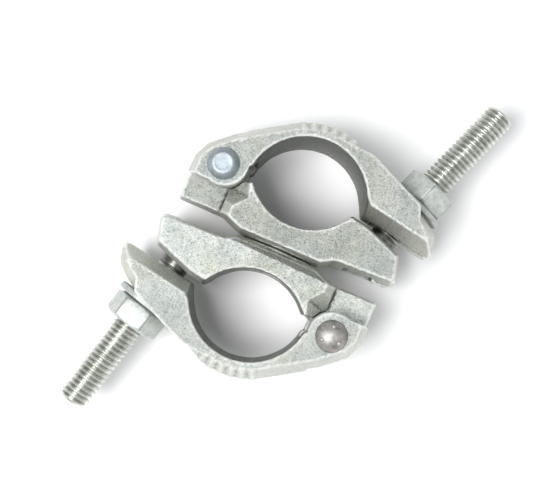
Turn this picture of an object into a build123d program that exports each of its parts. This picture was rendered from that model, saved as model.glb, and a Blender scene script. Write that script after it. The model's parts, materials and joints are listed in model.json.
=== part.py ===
from build123d import *
from math import cos, radians, sin, tan
import os

# Swivel scaffold coupler: two equal drop-forged halves riveted face to face, each a
# saddle and a hinged cap that grip one tube and are drawn together by a T-bolt.
# +X runs in the swivel plane from the hinge of half A to its bolt, +Y is the swivel
# axis from half B to half A, and +Z is the axis of both tubes. The origin is the
# swivel centre, halfway across the width. Half B is half A turned half round Z, but its
# saddle is fuller beside the swivel on its lower side, and that of half A on its upper.
# Sizes are in millimetres and angles in degrees.

# Tube and forging width
TUBE_D = 48.3
WIDTH = 45.0
TUBE_V = 34.4
SEAT_R = TUBE_D / 2
HALF = WIDTH / 2

# A forging's sides have a slight draft up to the first depth from the middle plane and
# a steeper one from there to the face: (depth, draft, steep draft)
SADDLE_CROWN = (12.0, 2.0, 9.0)
CAP_CROWN = (9.0, 1.5, 17.0)
FULL_CROWN = (12.0, 2.0, 5.0)
TONGUE_CROWN = (7.0, 3.0, 8.0)

# Swivel joint between the halves
SWIVEL_GAP = 0.35
BOSS_R = 17.5
BOSS_H = 3.4
SWIVEL_PIN_R = 6.0
SWIVEL_HEAD_R = 9.5
SWIVEL_HEAD_V = (5.6, 9.2)
RUNNING = 0.05

# Cap hinge
HINGE = (-32.5, 23.1)
CLOSED_ANGLE = 20.4
TONGUE_HALF = 11.0
TONGUE_R = 8.3
EAR_HALF = 11.3
EAR_R = 9.6
EAR_LOW = 14.2
HINGE_PIN_R = 4.5
HINGE_HEAD_R = 6.4
HINGE_HEAD_H = 3.4
HEAD_SHIFT = (-0.3, -0.9)

# Bolt, nut and washer: half-inch, 12 threads to the inch
BOLT_R = 12.7 / 2
PIVOT = (33.4, 10.5)
T_HEAD_R = 6.5
T_HEAD_L = 28.0
SLOT_W = 14.0
POCKET_CLEAR = 0.3
TIP_CHAMFER = 1.2
NUT_FLATS = 21.0
NUT_H = 9.8
WASHER_R = 12.5
WASHER_T = 2.4
WASHER_HOLE_R = 7.0

# Each half's bolt leans from +Y towards its own lug end, with its washer's place along
# the bolt and tilt on it, and its nut's place and turn about the bolt
BOLT_A = {"lean": 20.5, "length": 82.5, "washer": 29.2, "tilt": 0.0, "nut": 31.65, "turn": 30.0}
BOLT_B = {"lean": 13.9, "length": 80.5, "washer": 29.2, "tilt": 1.5, "nut": 32.0, "turn": 3.0}

# Cap back and arm
CAP_R = 31.8
RIB_R = 1.5
RIB_RISE = 0.6
RIB_FIRST = -24.0
RIB_STEP = 8.2
RIB_COUNT = 6
ARM_NORMAL = 22.5
ARM_REACH = 29.6


def turned(point, centre, angle):
    """The point after a turn about the centre in the XY plane."""
    x, y = point[0] - centre[0], point[1] - centre[1]
    c, s = cos(radians(angle)), sin(radians(angle))
    return (centre[0] + c * x - s * y, centre[1] + s * x + c * y)


def polar(centre, radius, angle):
    """The point at an angle from +Y, measured towards +X."""
    return (centre[0] + radius * sin(radians(angle)), centre[1] + radius * cos(radians(angle)))


CAP_CENTRE = turned((0, TUBE_V), HINGE, -CLOSED_ANGLE)


def forging(outline, half_width, crown):
    """A solid that is widest halfway across, with its sides drawn in towards both faces."""
    depth, draft, steep = crown
    middle = make_face(outline)
    upper = Pos(0, 0, depth) * offset(middle, -depth * tan(radians(draft)), kind=Kind.INTERSECTION)
    return both_sides(extrude(middle, depth, taper=draft) + extrude(upper, half_width - depth, taper=steep))


def across(radius, width, centre):
    """A cylinder that lies along Z about a centre in the XY plane."""
    return Pos(centre[0], centre[1], 0) * Cylinder(radius, width)


def slab(points, width):
    """A straight prism across the width."""
    return extrude(make_face(Polyline(*points, close=True)), width / 2, both=True)


def both_sides(shape):
    """The shape and its mirror image below the middle plane."""
    return shape + mirror(shape, Plane.XY)


def along_y(radius, low, high):
    """A cylinder along Y between two heights."""
    return Pos(0, (low + high) / 2, 0) * Rot(90, 0, 0) * Cylinder(radius, high - low)


def saddle_web():
    """The wide block of the saddle: the part over the swivel, and the bolt lug beside it."""
    middle = Polyline(
        (-27.5, 4.2), (-17.3, SWIVEL_GAP), (17.6, SWIVEL_GAP), (27.5, 6.1), (31, 29),
        (20, 32), (0, 36), (-17, 30), (-27.5, 24), close=True,
    )
    lug = Polyline(
        (10, 2.1), (46.6, 3.6), (48.8, 5.6), (45.4, 17.6),
        (43, 24), (31, 29), (20, 32), (10, 33), close=True,
    )
    return forging(middle, HALF, SADDLE_CROWN) + forging(lug, HALF, SADDLE_CROWN)


def full_side(side):
    """The web's extra stock beside the swivel, on one side of the middle plane (1 or -1)."""
    outline = Polyline(
        (-27.5, 4.2), (-17.3, SWIVEL_GAP), (17.6, SWIVEL_GAP), (27.5, 6.1),
        (27.5, 14), (-27.5, 14), close=True,
    )
    return forging(outline, HALF, FULL_CROWN) & Pos(0, 0, side * HALF) * Box(80, 80, WIDTH)


def swivel_bevel():
    """The bevel on each side of the web along the swivel, a little wider at the hinge end."""
    profile = Plane.YZ * Polyline((-1.2, 17.2), (5.2, 23), (-1.2, 23), close=True)
    return both_sides(Rot(0, 0, -2) * extrude(make_face(profile), 60, both=True))


def saddle_top():
    """What is cut off above the lug, with a drafted edge on each side, and above the bore's hinge side."""
    below = Polyline(
        (-20, -20), (80, -20), (80, 4.7), (42.5, 18.4), (28.5, 23.4), (22.2, 24.6), (-20, 26.5), close=True,
    )
    lug = slab([(16, 0), (60, 0), (60, 50), (16, 50)], 60) - forging(below, HALF, SADDLE_CROWN)
    heel = slab([(-30, 17), (-19.7, 19.8), (-10, 24), (-10, 50), (-30, 50)], 60)
    return lug + heel


def hinge_tongue():
    """The narrow tongue round the hinge rivet, with the heavy tail block below it."""
    right = polar(HINGE, TONGUE_R, 100)
    top = polar(HINGE, TONGUE_R, 0)
    left = polar(HINGE, TONGUE_R, -100)
    outline = Polyline(left, (-45.0, 14.4), (-45.4, 3.7), (-22.0, 3.7), (-18.0, 8.0), (-18.8, 19.0), right)
    outline += ThreePointArc(right, top, left)
    return forging(outline, TONGUE_HALF, TONGUE_CROWN)


def slope(top, turn):
    """A cut from the face down to the tongue, starting at a distance from the swivel's axis."""
    profile = Plane.XZ * Polyline((top - 8.3, 10.4), (top, 23.5), (-60, 23.5), (-60, 10.4), close=True)
    return Rot(0, 0, turn) * extrude(make_face(profile), 60, both=True)


def valley():
    """The slope on each side from the web's face to the tongue, set back near the swivel."""
    hollow = slope(-14.2, 14) & slope(-22.5, -40)
    seat = Pos(HINGE[0], HINGE[1], TONGUE_HALF + 10) * Cylinder(EAR_R + 0.5, 20)
    return both_sides(hollow + slope(-22.6, 0) + seat)


def bolt_room():
    """The T-head's pocket, open below, and the slot that the shank swings in."""
    r = T_HEAD_R + POCKET_CLEAR
    u, v = PIVOT
    pocket = across(r, T_HEAD_L + 1.0, PIVOT) + Pos(u, v / 2 - 3, 0) * Box(2 * r, v + 6, T_HEAD_L + 1.0)
    slot = slab([(u - BOLT_R - 0.45, -2), (60, -2), (60, 30), (u - BOLT_R - 0.45, 30)], SLOT_W)
    return pocket + slot


def swivel_bore(running):
    """The hole for the swivel rivet, counterbored from the tube seat for its head."""
    hole = along_y(SWIVEL_PIN_R + running, -1, SWIVEL_HEAD_V[0])
    return hole + along_y(SWIVEL_HEAD_R + 0.4, SWIVEL_HEAD_V[0] - 0.15, 20)


def saddle(running, side):
    """One half's forged body: swivel boss, tube seat, hinge tongue and bolt lug."""
    web = saddle_web() - swivel_bevel() + full_side(side) - saddle_top() - valley()
    boss = along_y(BOSS_R, SWIVEL_GAP, SWIVEL_GAP + BOSS_H)
    body = web + boss + hinge_tongue()
    body -= across(SEAT_R, 80, (0, TUBE_V))
    body -= across(HINGE_PIN_R, 80, HINGE)
    return body - bolt_room() - swivel_bore(running)


def cap_back():
    """The outer shape of the cap: hinge ears, ribbed back and the arm to its tip."""
    tip = polar(PIVOT, ARM_REACH, 50)
    bend = polar(PIVOT, ARM_REACH, ARM_NORMAL)
    rib_start = polar(CAP_CENTRE, CAP_R, -30)
    rib_end = polar(CAP_CENTRE, CAP_R, 14)
    shoulder = (19.8, 48.8)
    outline = Polyline(
        rib_start, (-34.2, 37.0), (-43.2, 29.2), (-46.3, 22.7), (-46.5, 8.0), (0, 8.0), (50.0, 15.5),
        (54.8, 17.6), (58.0, 22.0), tip,
    )
    outline += ThreePointArc(tip, polar(PIVOT, ARM_REACH, 36), bend)
    outline += Polyline(bend, shoulder, rib_end)
    outline += ThreePointArc(rib_end, polar(CAP_CENTRE, CAP_R, -8), rib_start)
    return forging(outline, HALF, CAP_CROWN)


def arm_pad():
    """The arm's flat back, full width where the washer bears, fading into the ribbed back."""
    inner = polar(CAP_CENTRE, CAP_R - 4.4, 4)
    end = polar(PIVOT, ARM_REACH, ARM_NORMAL)
    return slab([inner, (19.8, 48.8), end, (47.0, 31.0), (42, 26), (20, 34)], WIDTH)


def under_cap():
    """What is cut off under the arm and its corner with the bore, drafted, and below the ears."""
    above = Polyline((-10, 31.9), (57, 20.2), (80, 16.2), (80, 70), (-10, 70), close=True)
    arm = slab([(12, 0), (75, 0), (75, 36), (12, 36)], 80) - forging(above, HALF, CAP_CROWN)
    beyond = Polyline((-12.4, 61.8), (63.2, -11.7), (100, -11.7), (100, 100), (-12.4, 100), close=True)
    arm += slab([(21, 20), (34, 20), (34, 38), (21, 38)], 80) - forging(beyond, HALF, CAP_CROWN)
    ears = [(-60, 0), (-10, 0), (-10, 26.5), (-23.4, 25.5), (-24, 20), (-32.5, EAR_LOW), (-60, EAR_LOW)]
    return arm + (slab(ears, 80) - across(EAR_R, 80, HINGE))


def washer_seat(bolt):
    """The channel sunk in the arm's back under the washer, open towards the arm's tip."""
    wall = WASHER_R + 0.6
    length = 40 + wall
    band = on_bolt(bolt, 30, bolt["tilt"]) * Pos(length / 2 - wall, 0, 0) * Box(length, 2 * wall, 60)
    return band - across(bolt["washer"] - 0.1, 80, PIVOT)


def rib(angle):
    """One rounded rib over the cap's back, which follows the draft on each side."""
    x, y = polar(CAP_CENTRE, CAP_R - RIB_R + RIB_RISE, angle)
    depth, draft, steep = CAP_CROWN
    waist = Rot(draft, 0, 0) * Pos(0, 0, depth / 2) * Cylinder(RIB_R, depth)
    shoulder = Rot(steep, 0, 0) * Pos(0, 0, HALF / 2) * Cylinder(RIB_R, HALF)
    knee = Pos(0, -depth * tan(radians(draft)), depth)
    return both_sides(Pos(x, y, 0) * Rot(0, 0, -angle) * (waist + knee * (Sphere(RIB_R) + shoulder)))


def cap(bolt):
    """The hinged cap: forked round the tongue at one end and round the bolt at the other."""
    body = cap_back() + arm_pad()
    for i in range(RIB_COUNT):
        body += rib(RIB_FIRST + i * RIB_STEP)
    body &= Box(200, 200, WIDTH)
    body -= across(SEAT_R, 80, CAP_CENTRE)
    body -= under_cap()
    body -= across(TONGUE_R + 0.6, 2 * EAR_HALF, HINGE)
    body -= slab([(-60, 5), (-20, 5), (-20, 27.3), (-30.4, 40), (-60, 40)], 2 * EAR_HALF)
    body -= across(HINGE_PIN_R + RUNNING, 80, HINGE)
    body -= slab([(28.0, 10), (70, 10), (70, 60), (34.0, 60)], SLOT_W)
    return body - washer_seat(bolt)


def hinge_rivet(shift):
    """A shank with a flat-topped formed head above, off centre by the shift, and a domed one below."""
    shank = across(HINGE_PIN_R, WIDTH, HINGE)
    formed = Cylinder(HINGE_HEAD_R, HINGE_HEAD_H)
    formed = fillet(formed.edges().sort_by(Axis.Z)[-1], 2.4)
    formed = Pos(HINGE[0] + shift[0], HINGE[1] + shift[1], HALF + HINGE_HEAD_H / 2) * formed
    ball_r = (HINGE_HEAD_R**2 + HINGE_HEAD_H**2) / (2 * HINGE_HEAD_H)
    domed = Pos(HINGE[0], HINGE[1], ball_r - HALF - HINGE_HEAD_H) * Sphere(ball_r)
    domed &= Pos(HINGE[0], HINGE[1], -HALF - HINGE_HEAD_H) * Cylinder(HINGE_HEAD_R, 2 * HINGE_HEAD_H)
    return shank + formed + domed


def swivel_rivet():
    """The rivet that holds the halves face to face, with a sunk head at each end."""
    low, high = SWIVEL_HEAD_V
    head = chamfer(along_y(SWIVEL_HEAD_R, low, high).edges().sort_by(Axis.Y)[-1], 0.8)
    tail = Rot(0, 0, 180) * head
    return along_y(SWIVEL_PIN_R, -low, low) + head + tail


def on_bolt(bolt, distance, tilt=0.0):
    """The place on a leaning bolt's axis with local +Z along the bolt."""
    x, y = polar(PIVOT, distance, bolt["lean"])
    return Pos(x, y, 0) * Rot(0, 0, -bolt["lean"] - tilt) * Rot(-90, 0, 0)


def t_bolt(bolt):
    """The T-headed bolt: a cross cylinder that turns in the lug, and a straight shank."""
    length = bolt["length"]
    shank = Pos(0, 0, length / 2) * Cylinder(BOLT_R, length)
    shank = chamfer(shank.edges().sort_by(Axis.Z)[-1], TIP_CHAMFER)
    return on_bolt(bolt, 0) * shank + across(T_HEAD_R, T_HEAD_L, PIVOT)


def washer(bolt):
    """A thick plain washer, which may sit askew on its bolt."""
    ring = Cylinder(WASHER_R, WASHER_T) - Cylinder(WASHER_HOLE_R, 2 * WASHER_T)
    middle = bolt["washer"] + WASHER_T / 2 / cos(radians(bolt["tilt"]))
    return on_bolt(bolt, middle, bolt["tilt"]) * ring


def nut(bolt):
    """A plain hexagon nut, chamfered at both ends."""
    corner_r = NUT_FLATS / 2 / cos(radians(30))
    hexagon = extrude(Rot(0, 0, bolt["turn"]) * RegularPolygon(corner_r, 6), NUT_H / 2, both=True)
    rounded = Cylinder(corner_r, NUT_H)
    rounded = chamfer(rounded.edges().filter_by(GeomType.CIRCLE), 0.9, 1.7)
    body = (hexagon & rounded) - Cylinder(BOLT_R + RUNNING, 2 * NUT_H)
    return on_bolt(bolt, bolt["nut"] + NUT_H / 2) * body


def half_round(shape):
    """The same piece in half B."""
    return Rot(0, 0, 180) * shape


def save(shape, name):
    """Writes one sub-part as its own file."""
    export_step(shape, f"parts/{name}.step")


os.makedirs("parts", exist_ok=True)
save(saddle(0.0, 1), "saddle_a")
save(half_round(saddle(RUNNING, -1)), "saddle_b")
save(swivel_rivet(), "swivel_rivet")
save(hinge_rivet(HEAD_SHIFT), "hinge_rivet_a")
save(half_round(mirror(hinge_rivet((0, 0)), Plane.XY)), "hinge_rivet_b")
for suffix, bolt, place in (("a", BOLT_A, lambda s: s), ("b", BOLT_B, half_round)):
    save(place(cap(bolt)), f"cap_{suffix}")
    save(place(t_bolt(bolt)), f"t_bolt_{suffix}")
    save(place(washer(bolt)), f"washer_{suffix}")
    save(place(nut(bolt)), f"nut_{suffix}")
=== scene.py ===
"""The looks of a swivel scaffold coupler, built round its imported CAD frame.

Each forging is a skin over its CAD shape, with rounded edges and a cast of zinc; the
bolts get real helical threads, and the nuts, washers and rivets get their own shapes.
The coupler lies on a pale floor with its tube axes upright, under a camera that looks
almost straight down.
"""

import json
from math import atan2, cos, pi, radians, sin, sqrt, tan

import bmesh
import bpy
import numpy as np
from mathutils import Matrix, Vector, noise

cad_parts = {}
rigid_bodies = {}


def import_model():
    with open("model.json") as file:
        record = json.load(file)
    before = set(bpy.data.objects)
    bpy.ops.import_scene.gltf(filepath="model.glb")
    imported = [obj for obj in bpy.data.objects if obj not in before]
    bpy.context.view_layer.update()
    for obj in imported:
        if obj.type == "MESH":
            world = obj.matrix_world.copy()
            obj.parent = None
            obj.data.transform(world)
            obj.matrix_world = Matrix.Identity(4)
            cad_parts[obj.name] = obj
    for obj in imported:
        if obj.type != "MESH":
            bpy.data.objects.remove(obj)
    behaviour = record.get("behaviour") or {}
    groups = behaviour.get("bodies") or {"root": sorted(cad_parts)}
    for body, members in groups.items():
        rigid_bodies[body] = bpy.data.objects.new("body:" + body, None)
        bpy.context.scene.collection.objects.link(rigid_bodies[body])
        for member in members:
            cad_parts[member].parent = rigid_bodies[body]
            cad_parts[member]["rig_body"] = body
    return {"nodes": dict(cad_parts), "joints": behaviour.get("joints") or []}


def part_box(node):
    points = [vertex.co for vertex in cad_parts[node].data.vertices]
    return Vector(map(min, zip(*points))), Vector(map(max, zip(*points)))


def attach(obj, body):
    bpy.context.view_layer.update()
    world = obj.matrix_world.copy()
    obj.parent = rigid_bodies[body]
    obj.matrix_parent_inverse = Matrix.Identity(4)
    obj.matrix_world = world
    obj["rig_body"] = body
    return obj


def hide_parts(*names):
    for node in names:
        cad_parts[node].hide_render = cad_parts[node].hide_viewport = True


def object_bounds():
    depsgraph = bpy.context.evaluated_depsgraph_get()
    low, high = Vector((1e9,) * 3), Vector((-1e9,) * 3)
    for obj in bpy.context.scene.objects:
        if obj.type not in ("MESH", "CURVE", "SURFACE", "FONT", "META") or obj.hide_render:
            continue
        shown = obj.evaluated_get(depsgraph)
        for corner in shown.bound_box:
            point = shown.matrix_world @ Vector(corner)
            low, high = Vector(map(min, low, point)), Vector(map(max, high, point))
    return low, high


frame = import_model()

CAD_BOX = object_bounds()
MM = 0.001

# Bolt: a half-inch thread with 12 turns to the inch, and its cross head
BOLT_R = 6.35 * MM
PITCH = 25.4 / 12 * MM
THREAD_DEPTH = 1.15 * MM
THREAD_FROM = 12 * MM
TIP_CHAMFER = 1.7 * MM
TIP_INSET = 0.25 * MM
T_HEAD_R = 6.5 * MM

# The part of the shank near the head that the forgings cover gets painted shade, and it fades out over
# this distance
COVERED_SHADE = 0.15
COVERED_FADE = (22 * MM, 30 * MM)
# Passes of the hollow measure that places the painted shade in the bolt's thread roots
BOLT_SHADE_PASSES = 6

# Nut and washer
NUT_FLAT_R = 10.5 * MM
NUT_FACE_R = 9.7 * MM
NUT_BORE_R = 6.42 * MM
NUT_SLOPE = tan(radians(28))
WASHER_BORE_R = 7.0 * MM

# Rivets
HINGE_HEAD_R = 6.4 * MM
HINGE_SHANK_R = 4.45 * MM
PIP_COUNT = 3
PIP_R = 0.8 * MM
PIP_RING_R = 3.9 * MM
SWIVEL_SHANK_R = 6.0 * MM
SWIVEL_HEAD_UNDER = 5.6 * MM

# Forgings: the tube seat's offset from the middle, the distances from its axis over which the painted
# shade on the bore's walls fades, how far a cap rests past the tube, and half the width
SEAT_OFFSET = 34.4 * MM
BORE_FADE = (24.6 * MM, 25.2 * MM)
CAP_PAST_TUBE = radians(20.4)
FORGING_FACE = 22.5 * MM

# Forging skins: mesh size, passes of rounding, and (height in mm, lump size) of the unevenness
VOXEL = 0.42 * MM
ROUNDING_PASSES = 8
HOLLOW_PASSES = 12
SINK = 0.03
UNEVENNESS = ((0.10, 9 * MM), (0.08, 2.6 * MM), (0.07, 1.2 * MM))

JOINTS = {j["name"]: j for j in frame["joints"]}


# ---------------------------------------------------------------- mesh helpers


def add_object(name, mesh):
    """A new object at the origin of the row frame."""
    obj = bpy.data.objects.new(name, mesh)
    bpy.context.scene.collection.objects.link(obj)
    return obj


def baked(obj):
    """The object's mesh with its modifiers applied, and the modifiers removed."""
    bpy.context.view_layer.update()
    graph = bpy.context.evaluated_depsgraph_get()
    mesh = bpy.data.meshes.new_from_object(obj.evaluated_get(graph))
    obj.modifiers.clear()
    old = obj.data
    obj.data = mesh
    bpy.data.meshes.remove(old)
    return obj


def coordinates(mesh):
    """The mesh's points as an array."""
    points = np.empty(len(mesh.vertices) * 3)
    mesh.vertices.foreach_get("co", points)
    return points.reshape(-1, 3)


def normals(mesh):
    """The mesh's point normals as an array."""
    found = np.empty(len(mesh.vertices) * 3)
    mesh.vertex_normals.foreach_get("vector", found)
    return found.reshape(-1, 3)


def relaxed(points, edges, passes):
    """The points after some passes of averaging with their neighbours."""
    count = np.maximum(np.bincount(edges.ravel(), minlength=len(points))[:, None], 1)
    ends = (edges[:, 0], edges[:, 1])
    for _ in range(passes):
        total = np.zeros_like(points)
        for axis in range(points.shape[1]):
            total[:, axis] = np.bincount(ends[0], points[ends[1], axis], len(points))
            total[:, axis] += np.bincount(ends[1], points[ends[0], axis], len(points))
        points = 0.5 * points + 0.5 * total / count
    return points


def edge_array(mesh):
    """The mesh's edges as pairs of point numbers."""
    pairs = np.empty(len(mesh.edges) * 2, int)
    mesh.edges.foreach_get("vertices", pairs)
    return pairs.reshape(-1, 2)


def bumps(points, size, seed):
    """Smooth noise at the points, about -1 to 1, with lumps of the given size."""
    shift = Vector((seed * 7.31, seed * 3.17, seed * 5.77))
    return np.array([noise.noise(Vector(p) / size + shift) for p in points])


def store(mesh, name, values):
    """Keeps one number for each point for the materials to read."""
    layer = mesh.attributes.new(name, "FLOAT", "POINT")
    layer.data.foreach_set("value", values.astype(np.float32))


def smooth_shaded(mesh):
    """Shades all faces smoothly."""
    mesh.polygons.foreach_set("use_smooth", [True] * len(mesh.polygons))
    mesh.update()


def smoothstep(values, low, high):
    """0 below the first value, 1 above the second, and a smooth rise between."""
    share = np.clip((values - low) / (high - low), 0.0, 1.0)
    return share * share * (3 - 2 * share)


def hollows(mesh, passes):
    """How far each point lies under the surface round it, in mm: high in a crease, low on an edge."""
    points = coordinates(mesh)
    around = relaxed(points, edge_array(mesh), passes)
    return ((around - points) * normals(mesh)).sum(1) / MM


# ---------------------------------------------------------------- pieces


def place(obj, node):
    """Rides the piece on the body of a CAD node and lets it stand for that node."""
    body = frame["nodes"][node]["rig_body"]
    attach(obj, body)
    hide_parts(node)
    return obj


def seat_axis(node):
    """Where the axis of the forging's tube seat crosses the middle plane."""
    piece, side = node.split("_")
    sign = 1 if side == "a" else -1
    centre = Vector((0, sign * SEAT_OFFSET, 0))
    if piece == "cap":
        hinge = Vector(JOINTS[f"cap_hinge_{side}"]["pos_m"])
        centre = hinge + Matrix.Rotation(-CAP_PAST_TUBE, 3, "Z") @ (centre - hinge)
    return centre


def forging_skin(node, material, seed, tone):
    """A forging: the CAD shape with its edges rounded and its faces uneven under the zinc."""
    obj = add_object(node + "_forging", frame["nodes"][node].data.copy())
    obj.data.materials.clear()
    mesher = obj.modifiers.new("mesher", "REMESH")
    mesher.mode = "VOXEL"
    mesher.voxel_size = VOXEL
    baked(obj)
    mesh = obj.data
    edges = edge_array(mesh)
    points = relaxed(coordinates(mesh), edges, ROUNDING_PASSES)
    mesh.vertices.foreach_set("co", points.ravel())
    mesh.update()
    outward = normals(mesh)
    uneven = np.zeros(len(points))
    for step, (height, size) in enumerate(UNEVENNESS):
        uneven += height * bumps(points, size, seed + step)
    points = points + outward * (uneven[:, None] - SINK) * MM
    mesh.vertices.foreach_set("co", points.ravel())
    mesh.update()
    centre = seat_axis(node)
    from_axis = np.hypot(points[:, 0] - centre.x, points[:, 1] - centre.y)
    # painted shade: the tube seat's upright walls, fading out past the seat's radius
    upright = 1 - smoothstep(np.abs(outward[:, 2]), 0.15, 0.75)
    store(mesh, "bore", upright * (1 - smoothstep(from_axis, *BORE_FADE)))
    flank = 1 - smoothstep(np.abs(outward[:, 2]), 0.60, 0.94)
    store(mesh, "flank", relaxed(flank[:, None], edges, 2)[:, 0])
    store(mesh, "tone", np.full(len(points), tone))
    store(mesh, "hollow", hollows(mesh, HOLLOW_PASSES))
    smooth_shaded(mesh)
    mesh.materials.append(material)
    return place(obj, node)


def lathe(profile, steps, closed=False):
    """A mesh turned about Z from (radius, height) points, from axis to axis or, closed, as a ring."""
    made = bmesh.new()
    rings = []
    for radius, height in profile:
        if radius < 1e-9:
            rings.append([made.verts.new((0, 0, height))])
            continue
        ring = [
            made.verts.new((radius * cos(2 * pi * i / steps), radius * sin(2 * pi * i / steps), height))
            for i in range(steps)
        ]
        rings.append(ring)
    pairs = list(zip(rings, rings[1:]))
    if closed:
        pairs.append((rings[-1], rings[0]))
    for low, high in pairs:
        for i in range(steps):
            j = (i + 1) % steps
            if len(low) == 1:
                made.faces.new((low[0], high[j], high[i]))
            elif len(high) == 1:
                made.faces.new((low[i], low[j], high[0]))
            else:
                made.faces.new((low[i], low[j], high[j], high[i]))
    bmesh.ops.recalc_face_normals(made, faces=made.faces)
    mesh = bpy.data.meshes.new("lathe")
    made.to_mesh(mesh)
    made.free()
    return mesh


def joined(name, meshes, node, material, painted_light=0, covered_from=(0, 0, 0)):
    """One object of closed meshes for a CAD node; given passes for painted light, it gets painted shade in
    its hollows and near a point.
    """
    made = bmesh.new()
    for mesh in meshes:
        made.from_mesh(mesh)
        bpy.data.meshes.remove(mesh)
    whole = bpy.data.meshes.new(name)
    made.to_mesh(whole)
    made.free()
    if painted_light:
        from_head = np.linalg.norm(coordinates(whole) - covered_from, axis=1)
        # painted shade on the part of the bolt that the forgings cover
        covered = COVERED_SHADE * (1 - smoothstep(from_head, *COVERED_FADE))
        store(whole, "hollow", hollows(whole, painted_light) + covered)
    smooth_shaded(whole)
    whole.materials.append(material)
    obj = add_object(name, whole)
    return place(obj, node)


def bolt_frame(side):
    """The bolt's pivot and the turn that takes local +Z along the bolt and local X to the row's +Z."""
    pivot = Vector(JOINTS[f"bolt_swing_{side}"]["pos_m"])
    along = Vector(JOINTS[f"nut_run_{side}"]["axis"]).normalized()
    up = Vector((0, 0, 1))
    return pivot, Matrix((up, along.cross(up), along)).transposed().to_4x4()


def extent_along(node, origin, direction):
    """The lowest and highest distance of a CAD node along a direction from a point."""
    found = [(v.co - origin).dot(direction) for v in frame["nodes"][node].data.vertices]
    return min(found), max(found)


def threaded_shank(low, thread_from, high, steps=72, rows_per_pitch=12):
    """A closed bolt shank along Z with a helical thread and a domed, chamfered tip."""
    step = PITCH / rows_per_pitch
    rows = int((high - low) / step)
    heights = [low + i * (high - low) / rows for i in range(rows + 1)]
    made = bmesh.new()
    rings = []
    for z in heights:
        ring = []
        for i in range(steps):
            turn = i / steps
            phase = (z / PITCH - turn) % 1.0
            # a rounded crest and root with nearly straight flanks between
            wave = abs(2 * phase - 1)
            depth = min(max((wave - 0.14) / 0.72, 0.0), 1.0)
            depth = depth * depth * (3 - 2 * depth) * 0.35 + depth * 0.65
            fade = min(max((z - thread_from) / (1.5 * PITCH), 0.0), 1.0)
            r = BOLT_R - THREAD_DEPTH * depth * fade - (1 - fade) * 0.25 * MM
            r = min(r, BOLT_R - max(z - (high - TIP_CHAMFER), 0.0) * 0.8)
            ring.append(made.verts.new((r * cos(2 * pi * turn), r * sin(2 * pi * turn), z)))
        rings.append(ring)
    for a, b in zip(rings, rings[1:]):
        for i in range(steps):
            j = (i + 1) % steps
            made.faces.new((a[i], a[j], b[j], b[i]))
    for ring, flip, z in ((rings[0], True, low), (rings[-1], False, high)):
        inner = [
            made.verts.new((v.co.x * 0.86, v.co.y * 0.86, z + (0.0 if flip else 0.25 * MM))) for v in ring
        ]
        centre = made.verts.new((0, 0, z + (0.0 if flip else 0.2 * MM)))
        for i in range(steps):
            j = (i + 1) % steps
            face = (ring[i], ring[j], inner[j], inner[i])
            made.faces.new(face[::-1] if flip else face)
            face = (inner[i], inner[j], centre)
            made.faces.new(face[::-1] if flip else face)
    mesh = bpy.data.meshes.new("shank")
    made.to_mesh(mesh)
    made.free()
    return mesh


def t_bolt(side, material):
    """The T-headed bolt: threaded shank, and a cross head with rounded ends."""
    node = f"t_bolt_{side}"
    pivot, turn = bolt_frame(side)
    along = turn.to_3x3() @ Vector((0, 0, 1))
    reach = extent_along(node, pivot, along)[1] - TIP_INSET
    lo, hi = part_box(node)
    half = (hi.z - lo.z) / 2
    shank = threaded_shank(0.0, THREAD_FROM, reach)
    shank.transform(turn)
    shank.transform(Matrix.Translation(pivot))
    edge = 1.2 * MM
    rounded_end = [
        (T_HEAD_R, half - edge), (T_HEAD_R - 0.3 * edge, half - 0.3 * edge),
        (T_HEAD_R - edge, half), (0, half),
    ]
    head = lathe([(r, -z) for r, z in reversed(rounded_end)] + rounded_end, 48)
    head.transform(Matrix.Translation(pivot))
    return joined(f"t_bolt_{side}_threaded", [shank, head], node, material, BOLT_SHADE_PASSES, np.array(pivot))


def washer(side, material):
    """A thick washer with rounded edges."""
    node = f"washer_{side}"
    cad = frame["nodes"][node].data
    points = coordinates(cad)
    centre = Vector((points.min(0) + points.max(0)) / 2)
    # the washer's own axis is the direction in which its points spread least
    spread = np.linalg.eigh(np.cov((points - points.mean(0)).T))[1]
    axis = Vector(spread[:, 0])
    turn = bolt_frame(side)[1]
    if axis.dot(turn.to_3x3() @ Vector((0, 0, 1))) < 0:
        axis.negate()
    lo, hi = extent_along(node, centre, axis)
    half = (hi - lo) / 2
    radius = (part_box(node)[1].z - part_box(node)[0].z) / 2
    edge = 0.55 * MM
    profile = [
        (WASHER_BORE_R, -half + 0.3 * MM), (WASHER_BORE_R + 0.3 * MM, -half), (radius - edge, -half),
        (radius - 0.3 * edge, -half + 0.3 * edge), (radius, -half + edge), (radius, half - edge),
        (radius - 0.3 * edge, half - 0.3 * edge), (radius - edge, half), (WASHER_BORE_R + 0.5 * MM, half),
        (WASHER_BORE_R, half - 0.5 * MM),
    ]
    mesh = lathe(profile, 96, closed=True)
    mesh.transform(axis.to_track_quat("Z", "Y").to_matrix().to_4x4())
    mesh.transform(Matrix.Translation(centre + axis * (lo + hi) / 2))
    return joined(f"washer_{side}_ring", [mesh], node, material)


def nut_turn(node, pivot, turn):
    """The angle of the nut's first corner about the bolt, read from its CAD mesh."""
    back = (Matrix.Translation(pivot) @ turn).inverted()
    local = [back @ v.co for v in frame["nodes"][node].data.vertices]
    far = max(local, key=lambda p: p.x * p.x + p.y * p.y)
    return atan2(far.y, far.x)


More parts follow.
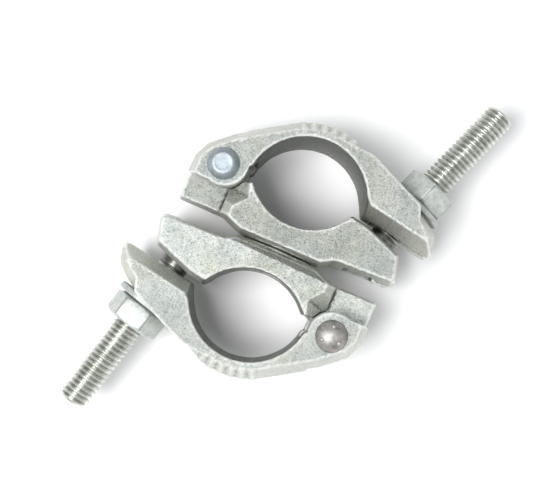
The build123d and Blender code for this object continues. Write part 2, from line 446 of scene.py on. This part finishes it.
def nut(side, material):
    """A hexagon nut with conical chamfers that leave curved lines on its flats."""
    node = f"nut_{side}"
    pivot, turn = bolt_frame(side)
    along = turn.to_3x3() @ Vector((0, 0, 1))
    low, high = extent_along(node, pivot, along)
    corner = nut_turn(node, pivot, turn)
    steps = 192
    lead = 0.7 * MM
    soft = 0.22 * MM
    outside = soft * 1.3
    made = bmesh.new()
    rings = []
    darkening = []

    def ring(radius_of, height_of):
        """A ring of points from a radius for each angle and a height for each radius."""
        row = []
        for i in range(steps):
            angle = 2 * pi * i / steps
            r = radius_of(angle)
            row.append(made.verts.new((r * cos(angle + corner), r * sin(angle + corner), height_of(r))))
            darkening.append(0.12 if i % (steps // 6) == 0 and r > NUT_FLAT_R else -0.1)
        rings.append(row)

    def hexagon(angle, inset=0.0):
        """The hexagon's radius at an angle from its first corner, with slightly rounded corners."""
        sector = (angle + pi / 6) % (pi / 3) - pi / 6
        r = (NUT_FLAT_R - inset) / cos(pi / 6 - abs(sector))
        corner_round = NUT_FLAT_R / cos(pi / 6) - 0.35 * MM
        return min(r, corner_round - inset)

    def drop(r):
        """How far the cone is from the nut's end at a radius."""
        return max(r + soft - NUT_FACE_R, 0) * NUT_SLOPE

    ring(lambda a: NUT_BORE_R, lambda r: low + lead)
    ring(lambda a: NUT_BORE_R + lead, lambda r: low)
    ring(lambda a: NUT_FACE_R - soft, lambda r: low)
    ring(lambda a: NUT_FACE_R + soft, lambda r: low + soft * NUT_SLOPE * 1.4)
    ring(lambda a: hexagon(a, soft), lambda r: low + drop(r))
    ring(lambda a: hexagon(a), lambda r: low + drop(r) + outside)
    ring(lambda a: hexagon(a), lambda r: high - drop(r) - outside)
    ring(lambda a: hexagon(a, soft), lambda r: high - drop(r))
    ring(lambda a: NUT_FACE_R + soft, lambda r: high - soft * NUT_SLOPE * 1.4)
    ring(lambda a: NUT_FACE_R - soft, lambda r: high)
    ring(lambda a: NUT_BORE_R + lead, lambda r: high)
    ring(lambda a: NUT_BORE_R, lambda r: high - lead)
    for a, b in zip(rings, rings[1:] + rings[:1]):
        for i in range(steps):
            j = (i + 1) % steps
            made.faces.new((a[i], a[j], b[j], b[i]))
    bmesh.ops.recalc_face_normals(made, faces=made.faces)
    mesh = bpy.data.meshes.new("nut")
    made.to_mesh(mesh)
    made.free()
    store(mesh, "hollow", np.array(darkening))
    mesh.transform(turn)
    mesh.transform(Matrix.Translation(pivot))
    return joined(f"nut_{side}_hexagon", [mesh], node, material)


def pips(dome, count, radius, ring_r):
    """Small raised dots evenly spaced on a domed head whose height at a distance is given."""
    made = bmesh.new()
    for i in range(count):
        angle = 2 * pi * i / count + radians(100)
        x, y = ring_r * cos(angle), ring_r * sin(angle)
        spot = Matrix.Translation((x, y, dome(ring_r) - 0.15 * MM)) @ Matrix.Diagonal((1, 1, 0.6, 1))
        bmesh.ops.create_uvsphere(made, u_segments=20, v_segments=12, radius=radius, matrix=spot)
    mesh = bpy.data.meshes.new("pips")
    made.to_mesh(mesh)
    made.free()
    return mesh


def hinge_rivet(side, material):
    """A rivet with a flat-topped formed head and a domed head with three raised dots."""
    node = f"hinge_rivet_{side}"
    centre = Vector(JOINTS[f"cap_hinge_{side}"]["pos_m"])
    radius = HINGE_HEAD_R
    face = FORGING_FACE
    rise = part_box(node)[1].z - face
    formed_up = side == "a"
    up = 1 if formed_up else -1
    cad = frame["nodes"][node].data
    crown = [v.co for v in cad.vertices if v.co.z * up > face + rise - 0.1 * MM]
    off_centre = [(min(c[i] for c in crown) + max(c[i] for c in crown)) / 2 - centre[i] for i in (0, 1)]
    formed = [
        (radius - 0.25 * MM, face - 0.05 * MM), (radius, face + 0.25 * MM),
        (radius - 0.1 * MM, face + 0.8 * MM), (radius - 0.55 * MM, face + 1.6 * MM),
        (radius - 1.25 * MM, face + 2.45 * MM),
        (radius - 2.1 * MM, face + 3.0 * MM), (radius - 2.6 * MM, face + rise - 0.15 * MM),
        (radius - 3.1 * MM, face + rise - 0.22 * MM), (radius - 4.4 * MM, face + rise - 0.3 * MM),
        (0, face + rise - 0.25 * MM),
    ]
    ball_r = (radius**2 + rise**2) / (2 * rise)

    def dome(r):
        """Height of the domed head at a distance from its middle."""
        return face + rise - ball_r + sqrt(max(ball_r**2 - r**2, 0.0))

    domed = [(radius - 0.35 * MM, face - 0.05 * MM), (radius, face + 0.15 * MM)]
    domed += [(r, dome(r) - 0.03 * MM) for r in (radius * s / 12 for s in range(11, -1, -1))]
    top, bottom = (formed, domed) if formed_up else (domed, formed)
    stem = [(HINGE_SHANK_R, -(face - 0.5 * MM)), (HINGE_SHANK_R, face - 0.5 * MM)]
    profile = [(r, -z) for r, z in reversed(bottom)] + stem + top
    body = lathe(profile, 72)
    for v in body.vertices:
        if v.co.z * up > face - 0.1 * MM:
            v.co += Vector((*off_centre, 0))
    dots = pips(dome, PIP_COUNT, PIP_R, PIP_RING_R)
    if formed_up:
        dots.transform(Matrix.Rotation(pi, 4, "X"))
    for mesh in (body, dots):
        mesh.transform(Matrix.Translation((centre.x, centre.y, 0)))
    return joined(f"hinge_rivet_{side}_headed", [body, dots], node, material)


def swivel_rivet(material):
    """The rivet between the halves, with a rounded sunk head at each end."""
    node = "swivel_rivet"
    lo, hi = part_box(node)
    head_r = (hi.z - lo.z) / 2
    top = hi.y
    edge = 1.0 * MM
    half = [
        (SWIVEL_SHANK_R, SWIVEL_HEAD_UNDER), (head_r, SWIVEL_HEAD_UNDER), (head_r, top - edge),
        (head_r - 0.35 * edge, top - 0.3 * edge), (head_r - 1.3 * edge, top),
        (head_r - 4 * edge, top - 0.1 * edge), (0, top - 0.2 * edge),
    ]
    profile = [(r, -z) for r, z in reversed(half)] + half
    mesh = lathe(profile, 72)
    mesh.transform(Matrix.Rotation(-pi / 2, 4, "X"))
    return joined("swivel_rivet_turned", [mesh], node, material)


# ---------------------------------------------------------------- materials


# Numbers of the colour sockets on a mix node, whose names it shares between kinds of data
COLOUR_FACTOR, COLOUR_A, COLOUR_B = 0, 6, 7
COLOUR_RESULT = 2


class Nodes:
    """A small writer for a material's node tree."""

    def __init__(self, name):
        self.material = bpy.data.materials.new(name)
        self.material.use_nodes = True
        self.tree = self.material.node_tree
        self.shader = self.tree.nodes["Principled BSDF"]
        self.place = self.add("ShaderNodeTexCoord").outputs["Object"]

    def add(self, kind, **settings):
        """A new node with some settings."""
        node = self.tree.nodes.new(kind)
        for key, value in settings.items():
            setattr(node, key, value)
        return node

    def link(self, source, target):
        """A link from one socket to another."""
        self.tree.links.new(source, target)

    def noise(self, scale, detail, roughness):
        """Noise at a scale in lumps per metre."""
        node = self.add("ShaderNodeTexNoise")
        node.inputs["Scale"].default_value = scale
        node.inputs["Detail"].default_value = detail
        node.inputs["Roughness"].default_value = roughness
        self.link(self.place, node.inputs["Vector"])
        return node.outputs["Fac"]

    def ridges(self, pitch, wander):
        """Wavy ridges along +Y, spaced along +X."""
        node = self.add("ShaderNodeTexWave", wave_type="BANDS", bands_direction="X")
        node.inputs["Scale"].default_value = 0.314 / pitch
        node.inputs["Distortion"].default_value = wander
        node.inputs["Detail"].default_value = 2
        node.inputs["Detail Scale"].default_value = 2.5
        self.link(self.place, node.inputs["Vector"])
        return node.outputs["Fac"]

    def ramp(self, source, stops):
        """A colour ramp from (position, colour) stops."""
        node = self.add("ShaderNodeValToRGB")
        elements = node.color_ramp.elements
        while len(elements) < len(stops):
            elements.new(0.5)
        for element, (position, colour) in zip(elements, stops):
            element.position = position
            element.color = (*colour, 1)
        self.link(source, node.inputs["Fac"])
        return node.outputs["Color"]

    def mix(self, factor, a, b, how="MIX"):
        """A colour mix of two sockets or colours."""
        node = self.add("ShaderNodeMix", data_type="RGBA", blend_type=how)
        for number, value in ((COLOUR_FACTOR, factor), (COLOUR_A, a), (COLOUR_B, b)):
            if isinstance(value, bpy.types.NodeSocket):
                self.link(value, node.inputs[number])
            elif isinstance(value, (int, float)):
                node.inputs[number].default_value = value
            else:
                node.inputs[number].default_value = (*value, 1)
        return node.outputs[COLOUR_RESULT]

    def math(self, operation, a, b):
        """Arithmetic on two sockets or numbers."""
        node = self.add("ShaderNodeMath", operation=operation)
        for i, value in enumerate((a, b)):
            if isinstance(value, bpy.types.NodeSocket):
                self.link(value, node.inputs[i])
            else:
                node.inputs[i].default_value = value
        return node.outputs[0]

    def remap(self, source, low, high, to_low, to_high):
        """The source's range low to high mapped on another range, and held at its ends."""
        node = self.add("ShaderNodeMapRange")
        ends = {"From Min": low, "From Max": high, "To Min": to_low, "To Max": to_high}
        for key, value in ends.items():
            node.inputs[key].default_value = value
        self.link(source, node.inputs["Value"])
        return node.outputs["Result"]

    def attribute(self, name):
        """A number stored on the mesh's points."""
        return self.add("ShaderNodeAttribute", attribute_name=name).outputs["Fac"]

    def bump(self, height, strength, distance, before=None):
        """A bumped normal, on top of an earlier one if given."""
        node = self.add("ShaderNodeBump")
        node.inputs["Strength"].default_value = strength
        node.inputs["Distance"].default_value = distance
        self.link(height, node.inputs["Height"])
        if before is not None:
            self.link(before, node.inputs["Normal"])
        return node.outputs["Normal"]

    def finish(self, colour, roughness, normal, metallic):
        """Joins the sockets to the shader and gives the material."""
        self.link(colour, self.shader.inputs["Base Color"])
        self.link(roughness, self.shader.inputs["Roughness"])
        self.link(normal, self.shader.inputs["Normal"])
        self.shader.inputs["Metallic"].default_value = metallic
        return self.material


def galvanised():
    """Hot-dip zinc on a rough forging: mottled greys, fine grain, painted shade in the creases, painted
    highlights on the edges.
    """
    n = Nodes("galvanised_forging")
    clouds = n.noise(65, 3, 0.55)
    patches = n.noise(480, 3, 0.6)
    grain = n.noise(1900, 3, 0.62)
    tint = n.noise(55, 2, 0.5)
    shades = [(0.32, (0.60, 0.63, 0.60)), (0.50, (0.73, 0.75, 0.71)), (0.68, (0.84, 0.85, 0.81))]
    base = n.ramp(clouds, shades)
    shades = [(0.34, (0.62, 0.64, 0.63)), (0.46, (0.92, 0.93, 0.92)), (0.60, (1.0, 1.0, 1.0))]
    blotch = n.ramp(patches, shades)
    colour = n.mix(0.5, base, blotch, "MULTIPLY")
    shades = [(0.33, (0.42, 0.44, 0.44)), (0.45, (0.84, 0.85, 0.84)), (0.58, (1.0, 1.0, 1.0))]
    mottle = n.ramp(grain, shades)
    colour = n.mix(0.85, colour, mottle, "MULTIPLY")
    colour = n.mix(n.remap(tint, 0.50, 0.62, 0.0, 0.4), colour, (0.82, 0.90, 0.94), "MULTIPLY")
    colour = n.mix(n.remap(tint, 0.48, 0.36, 0.0, 0.5), colour, (0.98, 0.97, 0.86), "MULTIPLY")
    colour = n.mix(n.attribute("tone"), (0.0, 0.0, 0.0), colour)
    # the drafted sides are duller, with a thin dark line where a face turns into one
    flank = n.attribute("flank")
    colour = n.mix(n.math("MULTIPLY", flank, 0.25), colour, (0.80, 0.78, 0.68))
    outline = n.math("MULTIPLY", flank, n.remap(flank, 1.0, 0.0, 0.0, 1.0))
    colour = n.mix(n.remap(outline, 0.10, 0.22, 0.0, 0.6), colour, (0.14, 0.14, 0.13))
    hollow = n.attribute("hollow")
    # painted shade: the creases are darkened nearly to black
    painted_crease_shade = n.remap(hollow, 0.03, 0.12, 0.0, 0.88)
    colour = n.mix(painted_crease_shade, colour, (0.07, 0.072, 0.065))
    # painted highlight: the outer edges are lightened to a pale zinc
    painted_light = n.remap(hollow, -0.04, -0.13, 0.0, 0.8)
    colour = n.mix(painted_light, colour, (0.88, 0.89, 0.86))
    # painted shade on the walls of the tube seat
    colour = n.mix(n.attribute("bore"), colour, n.mix(1.0, colour, (0.36, 0.37, 0.36), "MULTIPLY"))
    rough = n.remap(grain, 0.3, 0.7, 0.56, 0.34)
    ridged_areas = n.remap(n.noise(90, 2, 0.5), 0.44, 0.60, 0.0, 1.0)
    ridges = n.math("MULTIPLY", n.ridges(1.25 * MM, 0.9), ridged_areas)
    normal = n.bump(ridges, 0.45, 0.0003)
    normal = n.bump(patches, 0.9, 0.0008, normal)
    normal = n.bump(grain, 0.9, 0.0006, normal)
    return n.finish(colour, rough, normal, 0.85)


def plated(name, light, dark, scale, roughness, bump, metallic=0.95, darkening=None):
    """Plated zinc: a bright metal with blotches and dull specks, darkened where the mesh's hollow number
    is high if a darkening colour is given.
    """
    n = Nodes(name)
    blotch = n.noise(scale, 3, 0.6)
    specks = n.noise(scale * 7, 3, 0.6)
    colour = n.ramp(blotch, [(0.32, dark), (0.62, light)])
    dull = n.ramp(specks, [(0.36, (0.70, 0.70, 0.70)), (0.5, (1.0, 1.0, 1.0))])
    colour = n.mix(0.7, colour, dull, "MULTIPLY")
    # on the bolt this darkening is painted shade in the thread roots and on the covered shank; on the nut
    # it makes dark lines along the corners
    if darkening:
        colour = n.mix(n.remap(n.attribute("hollow"), -0.02, 0.12, 0.0, 0.9), colour, darkening)
    rough = n.remap(specks, 0.3, 0.7, roughness + 0.12, roughness - 0.06)
    normal = n.bump(specks, bump, 0.0001)
    return n.finish(colour, rough, normal, metallic)


def floor_material():
    """A plain pale surface with the least trace of unevenness."""
    n = Nodes("pale_floor")
    colour = n.ramp(n.noise(30, 2, 0.5), [(0.3, (0.90, 0.90, 0.905)), (0.7, (0.92, 0.92, 0.92))])
    rough = n.remap(n.noise(200, 2, 0.5), 0.3, 0.7, 0.75, 0.85)
    normal = n.bump(n.noise(400, 2, 0.5), 0.02, 0.0001)
    return n.finish(colour, rough, normal, 0.0)


# ---------------------------------------------------------------- the coupler

ZINC = galvanised()
BRIGHT = plated("bright_rivet", (0.42, 0.47, 0.50), (0.30, 0.35, 0.38), 300, 0.48, 1.2)
DULL = plated("dull_rivet", (0.50, 0.48, 0.45), (0.30, 0.29, 0.28), 330, 0.46, 1.0)
# The bolt's darkening colour is painted shade in its thread roots and on the shank the forgings cover
THREAD = plated(
    "bolt_plating", (0.82, 0.83, 0.78), (0.56, 0.58, 0.52), 240, 0.28, 0.4, darkening=(0.06, 0.06, 0.05),
)
NUT = plated(
    "nut_plating", (0.62, 0.65, 0.62), (0.46, 0.49, 0.47), 420, 0.48, 1.0, 0.55, (0.07, 0.07, 0.06),
)

# How bright the zinc is on each forging
TONES = {"saddle_a": 0.76, "saddle_b": 1.0, "cap_a": 0.78, "cap_b": 0.84}
for number, (name, tone) in enumerate(TONES.items()):
    forging_skin(name, ZINC, 11 * (number + 1), tone)
for which in "ab":
    t_bolt(which, THREAD)
    washer(which, NUT)
    nut(which, NUT)
    hinge_rivet(which, BRIGHT if which == "a" else DULL)
swivel_rivet(DULL)

# ---------------------------------------------------------------- floor, light and camera

FLOOR_R = 2.5
disc = lathe([(0.0, 0.0), (FLOOR_R, 0.0)], 64)
disc.materials.append(floor_material())
ground = add_object("floor", disc)
ground.location.z = CAD_BOX[0].z

SKY_STRENGTH = 0.56
world = bpy.data.worlds.new("studio")
bpy.context.scene.world = world
world.use_nodes = True
world.node_tree.nodes["Background"].inputs["Color"].default_value = (0.97, 0.985, 1.0, 1)
world.node_tree.nodes["Background"].inputs["Strength"].default_value = SKY_STRENGTH


def softbox(name, towards, distance, size, power):
    """A square area light at a direction and distance from the coupler, aimed at it."""
    light = bpy.data.lights.new(name, "AREA")
    light.shape = "SQUARE"
    light.size = size
    light.energy = power
    obj = bpy.data.objects.new(name, light)
    obj.location = Vector(towards).normalized() * distance
    obj.rotation_mode = "QUATERNION"
    obj.rotation_quaternion = Vector(towards).to_track_quat("Z", "Y")
    bpy.context.scene.collection.objects.link(obj)


# The view is turned about +Z: image right and image up in the row frame
VIEW_TURN = radians(23.3)
RIGHT = Vector((cos(VIEW_TURN), sin(VIEW_TURN), 0))
UP = Vector((-sin(VIEW_TURN), cos(VIEW_TURN), 0))
OVERHEAD = Vector((0, 0, 1))
softbox("key", RIGHT * -0.37 + UP * -0.13 + OVERHEAD, 0.9, 0.42, 8.4)
softbox("fill", RIGHT * 0.85 + UP * -0.35 + OVERHEAD * 0.6, 1.3, 0.9, 2.2)

CAMERA_AT = Vector((2.5 * MM, -22.5 * MM, 514.0 * MM))
AIM = Vector((1.1 * MM, 0.1 * MM, 0))
camera = bpy.data.cameras.new("view")
camera.sensor_width = 36.0
camera.lens = 81.3
camera.clip_start = 0.01
eye = bpy.data.objects.new("view", camera)
eye.location = CAMERA_AT
back = (CAMERA_AT - AIM).normalized()
side = UP.cross(back).normalized()
eye.rotation_mode = "QUATERNION"
eye.rotation_quaternion = Matrix((side, back.cross(side), back)).transposed().to_quaternion()
bpy.context.scene.collection.objects.link(eye)
bpy.context.scene.camera = eye
bpy.context.scene.view_settings.view_transform = "Standard"
